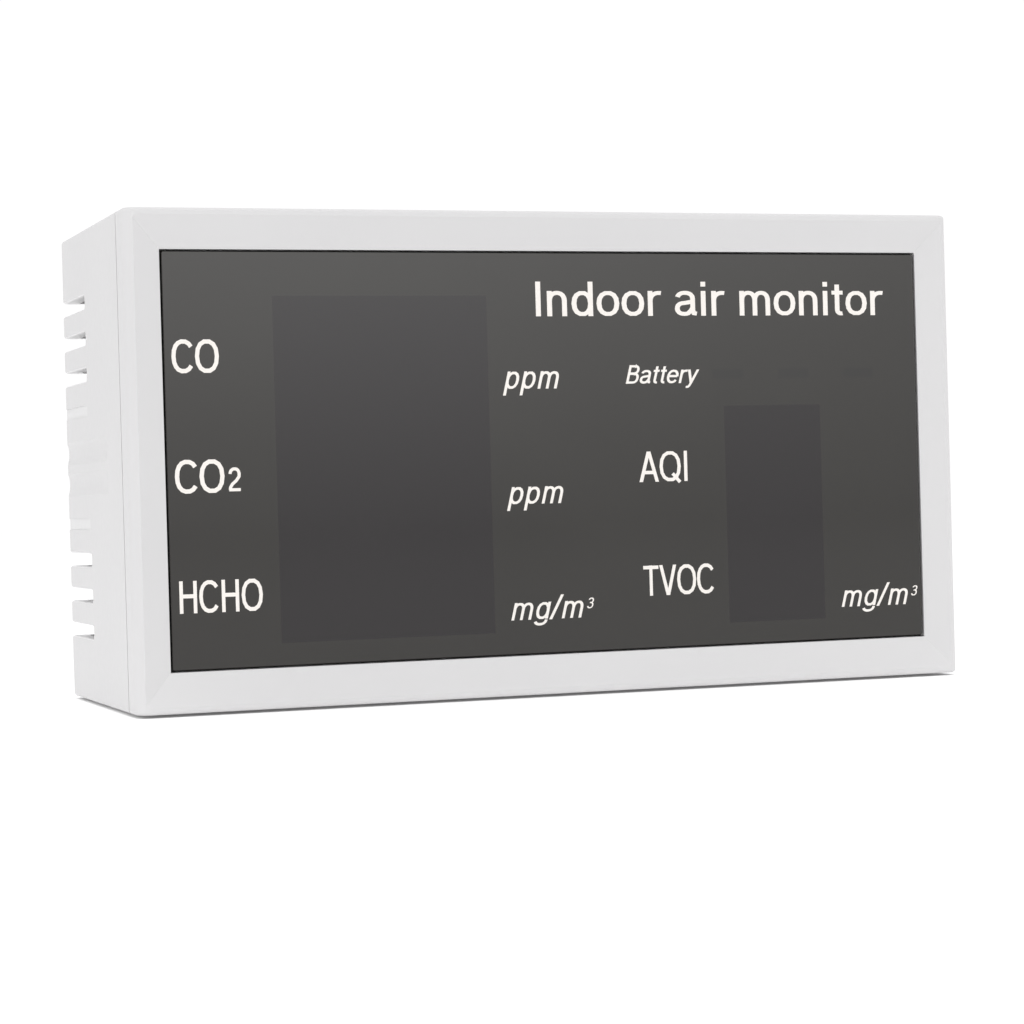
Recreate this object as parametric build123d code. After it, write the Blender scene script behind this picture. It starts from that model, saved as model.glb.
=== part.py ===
"""Desktop air quality monitor: a dished front cover with a dark display window, a vented rear shell,
two stacked circuit boards with the displays and gas sensors, a battery, a charging inlet and a slide switch.

Case frame used while modelling, in millimetres: X to the right seen from the front, Y backwards from the
front plane, Z up from the underside of the case. save() moves every piece so that the finished monitor has
its origin at the middle of the plane that its feet rest on.
"""
from build123d import *
import math
import os

# ---------------------------------------------------------------- driving dimensions
case_width = 121.2
case_height = 66.5
case_depth = 47.0
wall = 2.2
cover_depth = 5.0            # side strip of the front cover, up to the seam
long_edge_radius = 0.5       # the four case edges that run front to back
upright_edge_radius = 2.0    # the two upright edges of the front
rear_edge_radius = 1.6
slot_corner_radius = 0.6
seam_gap = 0.35              # shadow groove between cover and shell
seam_groove_depth = 0.6

# front cover
rim_width = 0.9              # flat rim before the bezel starts to slope
bezel_sides = 4.95           # case edge to window opening, left and right
bezel_ends = 5.35            # the same at the top and the bottom
dish_depth = 1.5             # how far the bezel slopes back to the window
ledge_width = 2.0            # shelf that the window is glued to
ledge_thickness = 1.5
tongue_length = 3.0          # lip that centres the cover in the shell
tongue_thickness = 1.2
fit_gap = 0.1
rooting = 0.5                # how far posts and bosses are sunk in the plastic they stand on

# display window stack, front to back
window_gap = 0.28            # gap all round the window, in the opening
window_thickness = 1.0
mask_thickness = 0.15
mask_margin = 0.2            # from the edge of the window to the edge of the printed mask
tape_thickness = 0.15
tape_gap = 0.05              # from the opening to the tape
tape_overhang = 0.2          # how far the tape runs on past the ledge

# seven-segment display modules
digit_pitch = 7.5
digit_bar = 4.0              # length of a level bar
digit_upright = 4.1          # height between two level bars
digit_stroke = 0.9
digit_slant = 8.0
digit_sink = 0.2
module_height = 14.0
module_depth = 7.2
module4_width = 30.1
module2_width = 14.9
row_pitch = 15.6
module_face_gap = 0.2        # between the mask and the module faces
lower_row_z = 16.2
left_column_x = -25.45
right_column_x = 32.3
mask_margin_x = 0.05
mask_margin_z = 0.55
battery_bar_size = (4.8, 1.3)
battery_bar_x = (25.5, 35.8, 46.0)
battery_bar_z = 43.85

# circuit boards
board_thickness = 1.6
board_gap = 8.0
display_board_width = 100.0
display_board_margin = 0.3   # to the cover's tongue, above and below
main_board_left = -50.0
main_board_right = 57.0
main_board_bottom = 9.5
main_board_top = 57.0
spacer_x = 46.0
spacer_z = (13.5, 53.0)
board_post_x = 42.0
board_post_inset = 5.4
board_post_radius = 2.2
board_hole_radius = 1.1
board_corner_radius = 1.0

# screws
screw_well_radius = 3.0      # outside of the wells in the shell
cover_boss_radius = 2.55
well_overlap = 0.3           # how far a well is sunk in the walls beside it
case_screw_seat = 22.0       # depth of the screw seats behind the front plane
case_screw_length = 11.0
case_screw_head = 2.0
case_screw_shank = 1.1
case_pilot_radius = 1.15
well_bore_radius = 2.25
well_hole_radius = 1.3
boss_meet = 20.0             # where the cover's bosses meet the shell's wells
boss_gap = 0.05
board_screw_shank = 0.8
board_screw_length = 6.0
board_pilot_radius = 0.85

# side vents and grip grooves
vent_centre_z = 33.1
vent_offsets = (13.1, 18.2, 23.3)
vent_height = 1.9
vent_front = 29.0
vent_wrap = 6.0              # how far a slot runs on round the corner, across the back
vent_edge_radius = 0.4
blind_offset = 8.0           # the slots nearest the grooves are only recesses
blind_depth = 0.2
blind_height = 1.6
groove_offset = 2.25
groove_front = 16.5
groove_radius = 3.6
groove_depth = 0.4

# charging inlet and power switch, on the right-hand edge of the main board
usb_z = 19.0
usb_length = 7.35
usb_size = (3.26, 8.94)      # across Y, along Z
usb_metal = 0.3
usb_pocket = (6.6, 12.4)
usb_pocket_radius = 3.2
usb_slot = (4.0, 9.7)
usb_slot_radius = 1.9
switch_z = 46.0              # middle of the switch travel
switch_travel = 2.0
switch_pocket = (6.4, 11.0)
switch_pocket_radius = 1.5
switch_slot = (2.7, 5.6)
side_pocket_depth = 1.3

# feet
foot_radius = 4.0
foot_gap = 0.1
foot_chamfer = 0.25
foot_recess = 0.8
foot_proud = 0.4
foot_x = 48.0
foot_y = (13.0, 38.0)

# ---------------------------------------------------------------- derived places
half_width = case_width / 2
window_width = case_width - 2 * bezel_sides
window_height = case_height - 2 * bezel_ends
mid_z = case_height / 2
window_face = dish_depth
mask_face = window_face + window_thickness
tape_face = mask_face + mask_thickness
ledge_face = tape_face + tape_thickness
ledge_back = ledge_face + ledge_thickness
module_face = tape_face + module_face_gap
display_board_face = module_face + module_depth
display_board_back = display_board_face + board_thickness
main_board_face = display_board_back + board_gap
main_board_back = main_board_face + board_thickness
shell_inner_back = case_depth - wall
shell_inner_x = half_width - wall
usb_y = main_board_back + usb_size[0] / 2
case_screw_inset = wall + screw_well_radius - well_overlap
case_screw_x = half_width - case_screw_inset
case_screw_z = (case_screw_inset, case_height - case_screw_inset)
case_screw_places = [(x, z) for x in (-case_screw_x, case_screw_x) for z in case_screw_z]
post_places = [(x, z) for x in (-board_post_x, board_post_x)
               for z in (board_post_inset, case_height - board_post_inset)]
spacer_places = [(x, z) for x in (-spacer_x, spacer_x) for z in spacer_z]
sides = (-1, 1)

os.makedirs("parts", exist_ok=True)


# ---------------------------------------------------------------- helpers
def block(x, y, z):
    """A box between three (low, high) pairs."""
    size = [high - low for low, high in (x, y, z)]
    middle = [(low + high) / 2 for low, high in (x, y, z)]
    return Pos(*middle) * Box(*size)


def centred(x, y, z, size_x, size_z):
    """A box centred on x and z, between the two depths in y."""
    return block((x - size_x / 2, x + size_x / 2), y, (z - size_z / 2, z + size_z / 2))


def rod(x, z, radius, y_front, y_back):
    """A round bar that runs front to back."""
    length = y_back - y_front
    return Pos(x, (y_front + y_back) / 2, z) * Rot(90, 0, 0) * Cylinder(radius, length)


def frame_plate(outer, inner, y):
    """A flat ring on the middle of the window, between outer and inner (width, height)."""
    return centred(0, y, mid_z, *outer) - centred(0, y, mid_z, *inner)


def lozenge(x, y, z, size_y, size_z, radius):
    """A bar along X with rounded corners, between the (low, high) pair x, centred on y and z."""
    bar = block(x, (y - size_y / 2, y + size_y / 2), (z - size_z / 2, z + size_z / 2))
    return fillet(bar.edges().filter_by(Axis.X), radius)


def solids_of(shape):
    """The separate solids of a shape or of a list of shapes."""
    if isinstance(shape, (list, tuple)):
        return [solid for piece in shape for solid in piece.solids()]
    return list(shape.solids())


def save(name, shape):
    """Write one node, moved to the monitor's own origin."""
    bodies = [Pos(0, -case_depth / 2, foot_proud) * solid for solid in solids_of(shape)]
    result = bodies[0] if len(bodies) == 1 else Compound(children=bodies)
    export_step(result, f"parts/{name}.step")


# ---------------------------------------------------------------- front cover
def front_cover():
    cover = block((-half_width, half_width), (0, cover_depth), (0, case_height))
    upright_edges = cover.edges().filter_by(Axis.Z).group_by(Axis.Y)[0]
    cover = fillet(upright_edges, upright_edge_radius)
    level_edges = [edge for face in cover.faces().filter_by(Axis.Z) for edge in face.edges()]
    cover = fillet([edge for edge in level_edges if edge.center().Y < cover_depth - rooting], long_edge_radius)

    # the bezel slopes back from a narrow rim to the window, with mitred corners
    facing = Plane(origin=(0, 0, mid_z), x_dir=(1, 0, 0), z_dir=(0, 1, 0))
    rim = facing * Rectangle(case_width - 2 * rim_width, case_height - 2 * rim_width)
    opening = facing.offset(dish_depth) * Rectangle(window_width, window_height)
    cover -= loft([rim, opening], ruled=True)
    cover -= centred(0, (0, ledge_face), mid_z, window_width, window_height)
    cover -= centred(0, (0, ledge_back), mid_z, window_width - 2 * ledge_width,
                     window_height - 2 * ledge_width)

    # hollow back and the tongue that enters the shell
    tongue_width = case_width - 2 * (wall + fit_gap)
    tongue_height = case_height - 2 * (wall + fit_gap)
    hollow_width = tongue_width - 2 * tongue_thickness
    hollow_height = tongue_height - 2 * tongue_thickness
    tongue_end = cover_depth + tongue_length
    tongue = frame_plate((tongue_width, tongue_height), (hollow_width, hollow_height),
                         (ledge_back, tongue_end))
    cover -= centred(0, (ledge_back, cover_depth), mid_z, hollow_width, hollow_height)
    cover += tongue

    # posts for the display board, and long bosses for the case screws
    for x, z in post_places:
        cover += rod(x, z, board_post_radius, ledge_back - rooting, display_board_face)
    for x, z in case_screw_places:
        cover += rod(x, z, cover_boss_radius, ledge_back - rooting, boss_meet)
    for x, z in post_places:
        cover -= rod(x, z, board_pilot_radius, ledge_back, display_board_face)
    for x, z in case_screw_places:
        cover -= rod(x, z, case_pilot_radius, boss_meet - case_screw_length, boss_meet)
    return cover


# ---------------------------------------------------------------- rear shell
def side_vents(side):
    """Through slots of one side wall, each running on round the corner and a little across the back."""
    cuts = []
    outside = side * (half_width + 1)
    across_wall = sorted((outside, side * (shell_inner_x - rooting)))
    round_corner = sorted((outside, side * (half_width - vent_wrap)))
    for z in [vent_centre_z + above * offset for above in sides for offset in vent_offsets]:
        height = (z - vent_height / 2, z + vent_height / 2)
        slot = block(across_wall, (vent_front, case_depth + 1), height)
        front_end = slot.edges().filter_by(Axis.X).group_by(Axis.Y)[0]
        cuts.append(fillet(front_end, slot_corner_radius))
        corner = block(round_corner, (shell_inner_back - rooting, case_depth + 1), height)
        inner_end = corner.edges().filter_by(Axis.Y).group_by(Axis.X)[0 if side > 0 else -1]
        cuts.append(fillet(inner_end, slot_corner_radius))
    return cuts


def blind_vents(side):
    """The two shallow recesses of one side wall beside the grooves, open towards the back."""
    across = sorted((side * (half_width + 1), side * (half_width - blind_depth)))
    cuts = []
    for z in (vent_centre_z - blind_offset, vent_centre_z + blind_offset):
        slot = block(across, (vent_front, case_depth + 1), (z - blind_height / 2, z + blind_height / 2))
        front_end = slot.edges().filter_by(Axis.X).group_by(Axis.Y)[0]
        cuts.append(fillet(front_end, slot_corner_radius))
    return cuts


def vent_rims(shell):
    """The edges where the through slots meet the outside of the side walls, the corners and the back."""
    rims = []
    for edge in shell.edges():
        points = [edge @ place for place in (0, 0.5, 1)]
        if max(abs(point.Z - vent_centre_z) for point in points) > max(vent_offsets) + vent_height:
            continue
        beyond = [(abs(point.X) - (half_width - rear_edge_radius),
                   point.Y - (case_depth - rear_edge_radius)) for point in points]
        skin = [math.hypot(x, y) if min(x, y) > 0 else max(x, y) for x, y in beyond]
        upright = abs(points[0].Z - points[2].Z) > slot_corner_radius
        if max(abs(reach - rear_edge_radius) for reach in skin) < 0.01 and not upright:
            rims.append(edge)
    return rims


def grip_groove(side, z):
    """A soft shallow scoop along the side wall, from its middle to the back edge."""
    length = case_depth + 2 - groove_front
    axis_x = side * (half_width + groove_radius - groove_depth)
    scoop = Pos(axis_x, groove_front + length / 2, z) * Rot(90, 0, 0) * Cylinder(groove_radius, length)
    return scoop + Pos(axis_x, groove_front, z) * Sphere(groove_radius)


def rear_shell():
    shell = block((-half_width, half_width), (cover_depth, case_depth), (0, case_height))
    shell = fillet(shell.edges().filter_by(Axis.Y), long_edge_radius)
    shell = fillet(shell.faces().sort_by(Axis.Y)[-1].edges(), rear_edge_radius)
    shell -= block((-shell_inner_x, shell_inner_x), (cover_depth, shell_inner_back),
                   (wall, case_height - wall))

    # shadow groove along the seam
    groove = (cover_depth, cover_depth + seam_gap)
    outer = (case_width + 2, case_height + 2)
    inner = (case_width - 2 * seam_groove_depth, case_height - 2 * seam_groove_depth)
    shell -= frame_plate(outer, inner, groove)

    # vents, with a softened rim round the through slots, and the grip grooves
    for side in sides:
        for cut in side_vents(side):
            shell -= cut
    shell = fillet(vent_rims(shell), vent_edge_radius)
    for side in sides:
        for cut in blind_vents(side):
            shell -= cut
        for offset in (-groove_offset, groove_offset):
            shell -= grip_groove(side, vent_centre_z + offset)

    # screw wells, from the back to the cover's bosses
    for x, z in case_screw_places:
        shell += rod(x, z, screw_well_radius, boss_meet + boss_gap, shell_inner_back + rooting)
    for x, z in case_screw_places:
        shell -= rod(x, z, well_bore_radius, case_screw_seat, case_depth + 1)
        shell -= rod(x, z, well_hole_radius, boss_meet - 1, case_screw_seat + 1)

    # charging inlet: a pocket for the plug's body, and the slot for its metal end
    pocket = (half_width - side_pocket_depth, half_width + 1)
    through = (shell_inner_x - 1, half_width)
    shell -= lozenge(pocket, usb_y, usb_z, *usb_pocket, usb_pocket_radius)
    shell -= lozenge(through, usb_y, usb_z, *usb_slot, usb_slot_radius)

    # power switch: a finger pocket, and the slot for the knob's neck
    slot_y, slot_z = switch_slot
    shell -= lozenge(pocket, usb_y, switch_z, *switch_pocket, switch_pocket_radius)
    shell -= block(through, (usb_y - slot_y / 2, usb_y + slot_y / 2),
                   (switch_z - slot_z / 2, switch_z + slot_z / 2))

    for side in sides:
        for y in foot_y:
            shell -= Pos(side * foot_x, y, foot_recess / 2) * Cylinder(foot_radius + foot_gap, foot_recess)
    return shell


# ---------------------------------------------------------------- window stack
def display_window():
    pane = centred(0, (window_face, mask_face), mid_z, window_width - 2 * window_gap,
                   window_height - 2 * window_gap)
    pane = fillet(pane.edges().filter_by(Axis.Y), 0.3)
    return chamfer(pane.faces().sort_by(Axis.Y)[0].edges(), 0.08)


def module_rows(column_x, width, rows):
    """Places of one column of display modules: x, z and width."""
    return [(column_x, lower_row_z + row * row_pitch, width) for row in rows]


left_modules = module_rows(left_column_x, module4_width, (2, 1, 0))
right_modules = module_rows(right_column_x, module2_width, (1, 0))


def printed_mask():
    """Opaque film behind the window, open in front of the displays and the battery bars."""
    margin = 2 * (window_gap + mask_margin)
    mask = centred(0, (mask_face, tape_face), mid_z, window_width - margin, window_height - margin)
    for column in (left_modules, right_modules):
        x, top_z, width = column[0]
        bottom_z = column[-1][1]
        height = top_z - bottom_z + module_height + 2 * mask_margin_z
        mask -= centred(x, (mask_face - 1, tape_face + 1), (top_z + bottom_z) / 2,
                        width + 2 * mask_margin_x, height)
    for x in battery_bar_x:
        mask -= centred(x, (mask_face - 1, tape_face + 1), battery_bar_z, *battery_bar_size)
    return mask


def window_tape():
    """Black adhesive ring that holds the window on its ledge and shows dark in the gap round it."""
    outer = (window_width - 2 * tape_gap, window_height - 2 * tape_gap)
    cut = 2 * (ledge_width - tape_overhang)
    return frame_plate(outer, (window_width - cut, window_height - cut), (tape_face, ledge_face))


# ---------------------------------------------------------------- displays
def digit_segments(x, z):
    """The seven bars of one slanted digit, as thin cutters in the module's face."""
    level_step = digit_upright + digit_stroke / 2
    bars = [(0, level * level_step, digit_bar, digit_stroke) for level in (-1, 0, 1)]
    side_x = (digit_bar + 0.7) / 2
    side_z = (digit_upright + 0.4) / 2
    bars += [(side * side_x, level * side_z, digit_stroke, digit_upright - 0.4)
             for side in sides for level in sides]
    cutters = []
    for dx, dz, size_x, size_z in bars:
        cutter = centred(dx, (-1, digit_sink), dz, size_x, size_z)
        cutters.append(Pos(x, module_face, z) * Rot(0, digit_slant, 0) * cutter)
    return cutters


def display_module(x, z, width):
    """One display block: a case with its digits sunk a little in the face."""
    body = centred(x, (module_face, display_board_face), z, width, module_height)
    body = fillet(body.edges().filter_by(Axis.Y), 0.4)
    digits = round(width / digit_pitch)
    for index in range(digits):
        digit_x = x + (index - (digits - 1) / 2) * digit_pitch
        for cutter in digit_segments(digit_x, z):
            body -= cutter
        body -= rod(digit_x + 3.1, z - 4.6, 0.5, module_face - 1, module_face + digit_sink)
    return body


def battery_bar_shroud():
    """Black block with three light wells between the level lights and the window."""
    left = battery_bar_x[0] - 4.2
    right = battery_bar_x[-1] + 3.6
    shroud = block((left, right), (module_face, display_board_face),
                   (battery_bar_z - 1.9, battery_bar_z + 1.9))
    for x in battery_bar_x:
        shroud -= centred(x, (module_face - 1, display_board_face + 1), battery_bar_z,
                          *battery_bar_size)
    return shroud


def battery_level_lights():
    return [centred(x, (display_board_face - 0.6, display_board_face), battery_bar_z, 1.6, 0.8)
            for x in battery_bar_x]


# ---------------------------------------------------------------- boards
def display_board():
    clear = wall + fit_gap + tongue_thickness + display_board_margin
    board = block((-display_board_width / 2, display_board_width / 2),
                  (display_board_face, display_board_back), (clear, case_height - clear))
    board = fillet(board.edges().filter_by(Axis.Y), board_corner_radius)
    for x, z in post_places + spacer_places:
        board -= rod(x, z, board_hole_radius, display_board_face - 1, display_board_back + 1)
    return board


def main_board():
    board = block((main_board_left, main_board_right), (main_board_face, main_board_back),
                  (main_board_bottom, main_board_top))
    board = fillet(board.edges().filter_by(Axis.Y), board_corner_radius)
    for x, z in spacer_places:
        board -= rod(x, z, board_hole_radius, main_board_face - 1, main_board_back + 1)
    return board


def pan_screw(x, z, head_face, length, shank=1.0, head=1.9, head_height=1.3, towards=-1):
    """A pan-head screw with a cross recess. Its shank runs from head_face along Y in towards."""
    head_end = head_face - towards * head_height
    low, high = sorted((head_face, head_end))
    cap = rod(x, z, head, low, high)
    outer_face = cap.faces().sort_by(Axis.Y)[0 if towards > 0 else -1]
    cap = fillet(outer_face.edges(), 0.45)
    for size_x, size_z in ((2.0, 0.5), (0.5, 2.0)):
        cap -= centred(x, sorted((head_end, head_end + towards * 0.7)), z, size_x, size_z)
    tip = head_face + towards * length
    low, high = sorted((head_face, tip))
    shaft = rod(x, z, shank, low, high)
    tip_face = shaft.faces().sort_by(Axis.Y)[-1 if towards > 0 else 0]
    return cap + chamfer(tip_face.edges(), 0.3)


def hex_spacer(x, z):
    """Hexagonal brass spacer between the boards, drilled through."""
    across_flats = 4.0
    section = Plane(origin=(x, display_board_back, z), x_dir=(1, 0, 0), z_dir=(0, 1, 0))
    bar = extrude(section * RegularPolygon(across_flats / 2, 6, major_radius=False), board_gap)
    return bar - rod(x, z, 1.05, display_board_back - 1, main_board_face + 1)


def spacer_screws():
    screws = []
    for x, z in spacer_places:
        screws.append(pan_screw(x, z, display_board_face, board_thickness + 3.4, towards=1))
        screws.append(pan_screw(x, z, main_board_back, board_thickness + 3.4, towards=-1))
    return screws


def board_link():
    """Pin strip on the display board, socket strip on the main board, and the pins between them."""
    count, pitch, pin = 8, 2.54, 0.64
    x_places = [(index - (count - 1) / 2) * pitch for index in range(count)]
    z = 52.0
    strip = centred(0, (display_board_back, display_board_back + 2.5), z, count * pitch, 2.5)
    socket = centred(0, (display_board_back + 3.0, main_board_face), z, count * pitch, 2.5)
    pins = []
    for x in x_places:
        pins.append(centred(x, (display_board_back, main_board_face - 0.8), z, pin, pin))
        strip -= centred(x, (display_board_back - 1, main_board_face), z, pin, pin)
        socket -= centred(x, (display_board_back, main_board_face - 0.8), z, pin, pin)
    return strip, socket, pins


def flat_chip(x, y, z, size_x, size_z, legs_x, legs_z, outward=1, height=1.4):
    """A moulded chip with bent legs. outward is +1 on a board's back and -1 on its front."""
    low, high = sorted((y + outward * 0.1, y + outward * height))
    body = centred(x, (low, high), z, size_x, size_z)
    body = chamfer(body.edges().filter_by(Axis.Y), 0.2)
    pieces = [body]
    foot = sorted((y, y + outward * 0.25))
    riser = sorted((y, y + outward * 0.8))
    for count, along_x in ((legs_x, True), (legs_z, False)):
        for index in range(count):
            shift = (index - (count - 1) / 2) * 0.8
            for side in sides:
                if along_x:
                    edge = z + side * size_z / 2
                    pieces.append(leg((x + shift, edge), (0, side), foot, riser))
                else:
                    edge = x + side * size_x / 2
                    pieces.append(leg((edge, z + shift), (side, 0), foot, riser))
    chip = pieces[0]
    for piece in pieces[1:]:
        chip += piece
    return chip


def leg(root, direction, foot, riser):
    """One chip leg: an upright against the body, and a foot on the board."""
    (x, z), (dx, dz) = root, direction
    wide = 0.3
    upright = centred(x + dx * 0.1, riser, z + dz * 0.1, wide, wide)
    toe = centred(x + dx * 0.55, foot, z + dz * 0.55, wide + abs(dx) * 0.7, wide + abs(dz) * 0.7)
    return upright + toe


def display_drivers():
    """The display driver chips, on the back of the display board."""
    return [flat_chip(x, display_board_back, 30.0, 5.3, 10.2, 0, 12) for x in (-24.0, 24.0)]


def small_parts():
    """Chip resistors and capacitors around the controller, charger and sensors."""
    rows = [(-8.0, 41.0, 5), (10.0, 30.0, 4), (10.0, 39.0, 4), (-22.0, 36.0, 3), (18.0, 22.0, 3)]
    pieces = []
    for start_x, z, count in rows:
        for index in range(count):
            x = start_x + index * 2.6
            pieces.append(centred(x, (main_board_back, main_board_back + 0.8), z, 1.25, 2.0))
    return pieces


# ---------------------------------------------------------------- sensors and other parts on the main board
def sensor_can(x, z, radius, height, cap_radius, cap_height, port_radius):
    """A round gas sensor: a drum with a smaller membrane cap, open in the middle."""
    base = rod(x, z, radius, main_board_back, main_board_back + height)
    base = fillet(base.faces().sort_by(Axis.Y)[-1].edges(), 0.6)
    top = main_board_back + height + cap_height
    can = base + rod(x, z, cap_radius, main_board_back + height - 0.5, top)
    return can - rod(x, z, port_radius, top - 1.0, top + 1)


def tvoc_sensor():
    """A small metal-oxide sensor: a flanged can with a perforated lid."""
    x, z = -20.0, 51.0
    can = rod(x, z, 4.6, main_board_back, main_board_back + 1.0)
    can += rod(x, z, 4.0, main_board_back, main_board_back + 4.5)
    can = fillet(can.faces().sort_by(Axis.Y)[-1].edges(), 0.5)
    for dx in (-1.6, 0, 1.6):
        for dz in (-1.6, 0, 1.6):
            can -= rod(x + dx, z + dz, 0.4, main_board_back + 3.9, main_board_back + 5)
    return can


co2_x, co2_z = 37.5, 33.2
co2_board_y = main_board_back + 2.0


def co2_sensor_board():
    """The carbon dioxide module's own board, on its two rows of pins."""
    board = centred(co2_x, (co2_board_y, co2_board_y + 1.0), co2_z, 20.0, 33.0)
    for side in sides:
        for index in range(5):
            z = co2_z + (index - 2) * 2.54 + side * 8.0
            board += centred(co2_x + side * 8.6, (main_board_back, co2_board_y), z, 0.64, 0.64)
    return board


def co2_optical_chamber():
    """Folded light path of the carbon dioxide module, with its filter ports on top."""
    low = co2_board_y + 1.0
    chamber = centred(co2_x, (low, low + 7.5), co2_z - 1.5, 17.0, 26.0)
    chamber = fillet(chamber.edges().filter_by(Axis.Y), 2.0)
    chamber = chamfer(chamber.faces().sort_by(Axis.Y)[-1].edges(), 0.7)
    for side in sides:
        chamber -= centred(co2_x + side * 3.8, (low + 7.0, low + 9), co2_z - 1.5, 4.2, 16.0)
    return chamber


def buzzer():
    x, z = 15.0, 50.5
    body = rod(x, z, 4.5, main_board_back, main_board_back + 5.0)
    body = fillet(body.faces().sort_by(Axis.Y)[-1].edges(), 0.4)
    return body - rod(x, z, 1.0, main_board_back + 3.5, main_board_back + 6)


def power_coil():
    """Square shielded coil of the charger and voltage converter."""
    body = centred(16.5, (main_board_back, main_board_back + 3.0), 16.0, 6.0, 6.0)
    return chamfer(body.edges().filter_by(Axis.Y), 1.2)


# ---------------------------------------------------------------- battery
battery_x = (-25.0, 25.0)
battery_z = (16.0, 50.0)
battery_thickness = 8.0
battery_pad_thickness = 0.8
battery_pad_face = shell_inner_back - battery_pad_thickness
battery_face = battery_pad_face - battery_thickness
plug_z = 12.5
plug_back = main_board_back + 6.0
lead_spacing = 2.0
lead_radius = 0.6


def battery_cell():
    cell = block(battery_x, (battery_face, battery_pad_face), battery_z)
    cell = fillet(cell.edges().filter_by(Axis.Z), 2.0)
    return fillet(cell.edges().group_by(Axis.Z)[-1], 0.6)


def battery_pad():
    return block((battery_x[0] + 5, battery_x[1] - 5), (battery_pad_face, shell_inner_back),
                 (battery_z[0] + 5, battery_z[1] - 5))


def battery_socket():
    """Open-topped two-way socket on the board."""
    body = centred(0, (main_board_back, main_board_back + 4.0), plug_z, 7.4, 4.6)
    return body - centred(0, (main_board_back + 1.0, main_board_back + 5), plug_z, 6.2, 3.4)


def battery_plug():
    body = centred(0, (main_board_back + 1.0, plug_back), plug_z, 6.0, 3.2)
    return chamfer(body.edges().filter_by(Axis.Y), 0.3)


def battery_lead(x):
    """One lead: out of the plug, backwards under the cell, and up into its lower edge."""
    lead_y = (battery_face + battery_pad_face) / 2
    points = [(x, plug_back, plug_z), (x, lead_y, plug_z), (x, lead_y, battery_z[0])]
    path = FilletPolyline(*points, radius=1.5)
    section = Plane(origin=points[0], z_dir=(0, 1, 0)) * Circle(lead_radius)
    return sweep(section, path=path)


# ---------------------------------------------------------------- charging inlet
def usb_shell():
    """Formed metal sleeve of the charging inlet, open towards the side of the case."""
    mouth = shell_inner_x - 0.2
    sleeve = lozenge((mouth - usb_length, mouth), usb_y, usb_z, *usb_size, usb_size[0] / 2 - 0.05)
    inner = (usb_size[0] - 2 * usb_metal, usb_size[1] - 2 * usb_metal)
    return sleeve - lozenge((mouth - usb_length + 1.0, mouth + 1), usb_y, usb_z, *inner,
                            inner[0] / 2 - 0.05)


def usb_tongue():
    mouth = shell_inner_x - 0.2
    root = mouth - usb_length + 1.0
    blade = block((root, mouth - 0.6), (usb_y - 0.35, usb_y + 0.35), (usb_z - 3.3, usb_z + 3.3))
    return fillet(blade.edges().filter_by(Axis.Y).group_by(Axis.X)[-1], 0.4)


# ---------------------------------------------------------------- power switch
switch_rest_z = switch_z - switch_travel / 2
switch_body_x = (53.5, 57.2)
lever_size = 1.5
knob_flange_x = (shell_inner_x - 0.8, shell_inner_x - 0.1)


def switch_body():
    body = block(switch_body_x, (main_board_back, main_board_back + 3.5),
                 (switch_z - 4.3, switch_z + 4.3))
    lever_room = switch_travel + lever_size + 0.3
    return body - block((switch_body_x[1] - 1.6, switch_body_x[1] + 1), (usb_y - 0.85, usb_y + 0.85),
                        (switch_z - lever_room / 2, switch_z + lever_room / 2))


def switch_lever():
    """The switch's own lever, at the off end of its travel."""
    return block((switch_body_x[1] - 1.4, half_width - 1.5),
                 (usb_y - lever_size / 2, usb_y + lever_size / 2),
                 (switch_rest_z - lever_size / 2, switch_rest_z + lever_size / 2))


def power_knob():
    """Ribbed finger pad in the side pocket, its neck through the slot, and a flange inside the wall."""
    floor = half_width - side_pocket_depth
    z = switch_rest_z
    pad = lozenge((floor + 0.1, half_width - 0.1), usb_y, z, 4.4, 5.4, 0.8)
    for index in range(4):
        groove_z = z + (index - 1.5) * 1.1
        pad -= block((half_width - 0.4, half_width + 1), (usb_y - 1.7, usb_y + 1.7),
                     (groove_z - 0.2, groove_z + 0.2))
    neck = block((knob_flange_x[0], floor + 0.4), (usb_y - 1.2, usb_y + 1.2), (z - 1.6, z + 1.6))
    flange = block(knob_flange_x, (usb_y - 2.4, usb_y + 2.4), (z - 4.2, z + 4.2))
    lever_room = lever_size / 2 + 0.08
    room = block((knob_flange_x[0] - 1, half_width - 1.4), (usb_y - lever_room, usb_y + lever_room),
                 (z - lever_room, z + lever_room))
    return pad + neck + flange - room


# ---------------------------------------------------------------- feet and case screws
def rubber_feet():
    feet = []
    for x in (-foot_x, foot_x):
        for y in foot_y:
            height = foot_recess + foot_proud
            foot = Pos(x, y, foot_recess - height / 2) * Cylinder(foot_radius, height)
            feet.append(chamfer(foot.faces().sort_by(Axis.Z)[0].edges(), foot_chamfer))
    return feet


def case_screws():
    return [pan_screw(x, z, case_screw_seat, case_screw_length, case_screw_shank, case_screw_head, 1.5)
            for x, z in case_screw_places]


def display_board_screws():
    return [pan_screw(x, z, display_board_back, board_screw_length, board_screw_shank)
            for x, z in post_places]


# ---------------------------------------------------------------- all nodes
link_strip, link_socket, link_pins = board_link()
left_names = ("co_display", "co2_display", "hcho_display")
right_names = ("aqi_display", "tvoc_display")

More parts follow.
